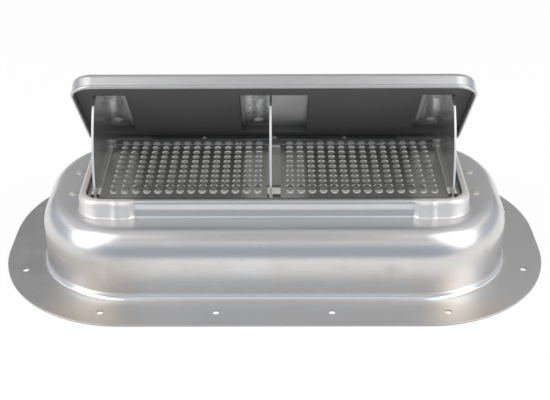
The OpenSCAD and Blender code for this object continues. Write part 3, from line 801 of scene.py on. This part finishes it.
# Section of the lid from the underside of its top, down the inside, round the bead and up the outside
def lidSection():
    radius, sheet, edge, bead = lid["cornerRadius"], lid["sheet"], lid["topEdge"], lid["bead"]
    lip = dome["shelf"] + collar["height"] - lid["overlap"]
    top = lip + lid["height"]
    wall, insideEdge = radius + sheet, edge - sheet
    section = []
    for along, across in quarterSteps(bendSteps["lidInside"]):
        section.append((wall - edge + insideEdge * along, top - sheet - insideEdge * across))
    beadMiddle = wall + lid["beadProud"] - bead
    start = pi + acos((beadMiddle - radius) / bead)
    finish = 2 * pi + acos((wall - beadMiddle) / bead)
    for step in range(bendSteps["bead"] + 1):
        turn = start + (finish - start) * step / bendSteps["bead"]
        section.append((beadMiddle + bead * cos(turn), lip + bead + bead * sin(turn)))
    for along, across in quarterSteps(bendSteps["lidTop"]):
        section.append((wall - edge * across, top - edge * (1 - along)))
    return section


def makeLidShell():
    halfLength = collar["length"] / 2 + lid["endGap"]
    halfWidth = hingePlace.y + lid["wallBehindHinge"]
    radius = lid["cornerRadius"]
    stations = outlineStations(halfLength - radius, halfWidth - radius, [0.0], [0.0], cornerSteps)
    piece = sweepLoops("lidShell", [outlineLoop(stations, offset, z) for offset, z in lidSection()])
    closeSweep(piece, capped=True)
    piece.data.transform(openTurn)
    smoothByAngle(piece, lid["smoothing"])
    fitOut(piece, "lid", lidAluminium, "lid_shell")
    return piece


lidShell = makeLidShell()
print("lid modelled:", len(lidShell.data.polygons), "faces")


# Pieces whose solids already have the right shape: merged copies, with broken edges where a width is given
smoothing = {"broken": 30, "plain": 35}  # degrees
windowed = ["lid_lining"]  # its large faces with windows keep their triangles
sides = ("left", "centre", "right")
finishedCopies = [
    # node, body, slot, material, width of the broken edges
    ("screen", "base", "screen_metal", screenMetal, 0.4 * mm),
    ("lid_lining", "lid", "foam", foam, 0.7 * mm),
    *[(side + "_quadrant", "lid", "polished_plate", polishedPlate, 0.6 * mm) for side in sides],
    *[(side + "_friction_block", "base", "nylon", nylon, 0.3 * mm) for side in sides],
    *[(side + "_shelf_rivets", "base", "rivet_metal", rivetMetal, 0) for side in ("left", "right")],
    *[(side + "_quadrant_rivets", "lid", "rivet_metal", lidRivetMetal, 0) for side in sides],
    ("hinge_base_leaf", "base", "hinge_metal", hingeMetal, 0),
    ("hinge_lid_leaf", "lid", "hinge_metal", hingeMetal, 0),
    ("hinge_pin", "base", "hinge_metal", hingeMetal, 0),
    ("hinge_base_rivets", "base", "rivet_metal", rivetMetal, 0),
    ("hinge_lid_rivets", "lid", "rivet_metal", rivetMetal, 0),
]
for node, body, slot, material, edge in finishedCopies:
    angle = smoothing["broken"] if edge else smoothing["plain"]
    piece = softenedCopy(node, edge, angle, joinFaces=node not in windowed)
    fitOut(piece, body, material, node)
print("small pieces finished:", len(finishedCopies))


# Studio: white table and surround, soft boxes left and right, cards for the room that the metal reflects
studio = {
    "floorColour": (0.86, 0.86, 0.86), "surround": 0.8,
    "floor": {"place": (0, 0, -0.2 * mm), "size": (8.0, 8.0), "glow": 0.9},
    # a painted shadow: the dim floor patch under the dome's rear wall
    "rearShade": {"place": (0, 97.6 * mm, -0.1 * mm), "size": (0.4, 0.0168), "glow": 0.2},
}
cards = {
    # place, turn in degrees, size, shade
    "lowRoomCard": ((0, -1.7, 0.45), (90, 0, 0), (3.4, 0.9), (0.395, 0.455, 0.54)),
    "highRoomCard": ((0, -1.7, 1.225), (90, 0, 0), (3.4, 0.65), (0.64, 0.65, 0.67)),
    "tableCard": ((0, -0.99, 0.1 * mm), (0, 0, 0), (3.4, 1.42), (0.395, 0.455, 0.535)),
    "leftCard": ((-2, 0.5, 0.6), (90, 0, 90), (2.4, 1.2), (0.5, 0.53, 0.6)),
    "rightCard": ((2, 0.5, 0.6), (90, 0, 90), (2.4, 1.2), (0.5, 0.53, 0.6)),
    "backCard": ((0, 1.7, 0.9), (90, 0, 0), (4.0, 1.6), (0.34, 0.34, 0.34)),
    "ceilingCard": ((0, -0.075, 1.9), (0, 0, 0), (4.0, 3.35), (0.48, 0.48, 0.49)),
}
softBoxes = {
    # place, width and height, power
    "leftBox": ((-0.9, -0.52, 0.8), (0.8, 1.7), 5.5),
    "rightBox": ((0.9, -0.52, 0.8), (0.8, 1.7), 5.5),
}


def cameraAndGloss(tree):
    rays = addNode(tree, "ShaderNodeLightPath").outputs
    seen = maths(tree, "MAXIMUM", rays["Is Camera Ray"], rays["Is Glossy Ray"])
    return maths(tree, "MAXIMUM", seen, rays["Is Transmission Ray"])


def addPlane(name, place, turn, size):
    deselectAll()
    bpy.ops.mesh.primitive_plane_add(size=1, location=place, rotation=[radians(angle) for angle in turn])
    plane = bpy.context.object
    plane.name = plane.data.name = name
    plane.scale = (*size, 1)
    material = bpy.data.materials.new(name)
    material.use_nodes = True
    material.node_tree.nodes.clear()
    plane.data.materials.append(material)
    return plane, material.node_tree


def addFloor(name, look):
    tree = addPlane(name, look["place"], (0, 0, 0), look["size"])[1]
    paint = addNode(tree, "ShaderNodeBsdfDiffuse", {"Color": opaque(studio["floorColour"])})
    glow = addNode(tree, "ShaderNodeEmission")
    mix = addNode(tree, "ShaderNodeMixShader", {
        "Fac": maths(tree, "MULTIPLY", cameraAndGloss(tree), look["glow"]),
        1: paint.outputs["BSDF"], 2: glow.outputs["Emission"],
    })
    addNode(tree, "ShaderNodeOutputMaterial", {"Surface": mix.outputs["Shader"]})


def setWorld():
    world = bpy.data.worlds.new("paleSurround")
    scene.world = world
    world.use_nodes = True
    tree = world.node_tree
    tree.nodes.clear()
    strength = addNode(tree, "ShaderNodeMapRange", {
        "Value": cameraAndGloss(tree), "To Min": studio["surround"],
    })
    back = addNode(tree, "ShaderNodeBackground", {
        "Color": opaque((1, 1, 1)), "Strength": strength.outputs["Result"],
    })
    addNode(tree, "ShaderNodeOutputWorld", {"Surface": back.outputs["Background"]})


# A flat card that only reflections see
def addCard(name, place, turn, size, shade):
    card, tree = addPlane(name, place, turn, size)
    glow = addNode(tree, "ShaderNodeEmission", {"Color": opaque(shade)})
    addNode(tree, "ShaderNodeOutputMaterial", {"Surface": glow.outputs["Emission"]})
    card.visible_camera = False
    card.visible_diffuse = False
    card.visible_shadow = False


def addSoftBox(name, place, size, power):
    data = bpy.data.lights.new(name, "AREA")
    data.shape = "ELLIPSE"
    data.size, data.size_y = size
    data.energy = power
    lamp = bpy.data.objects.new(name, data)
    lamp.location = place
    lamp.rotation_euler = (-Vector(place)).to_track_quat("-Z", "Y").to_euler()
    scene.collection.objects.link(lamp)


addFloor("studioFloor", studio["floor"])
addFloor("rearShade", studio["rearShade"])
setWorld()
for name, card in cards.items():
    addCard(name, *card)
for name, box in softBoxes.items():
    addSoftBox(name, *box)
scene.view_settings.view_transform = "Standard"
print("studio set")
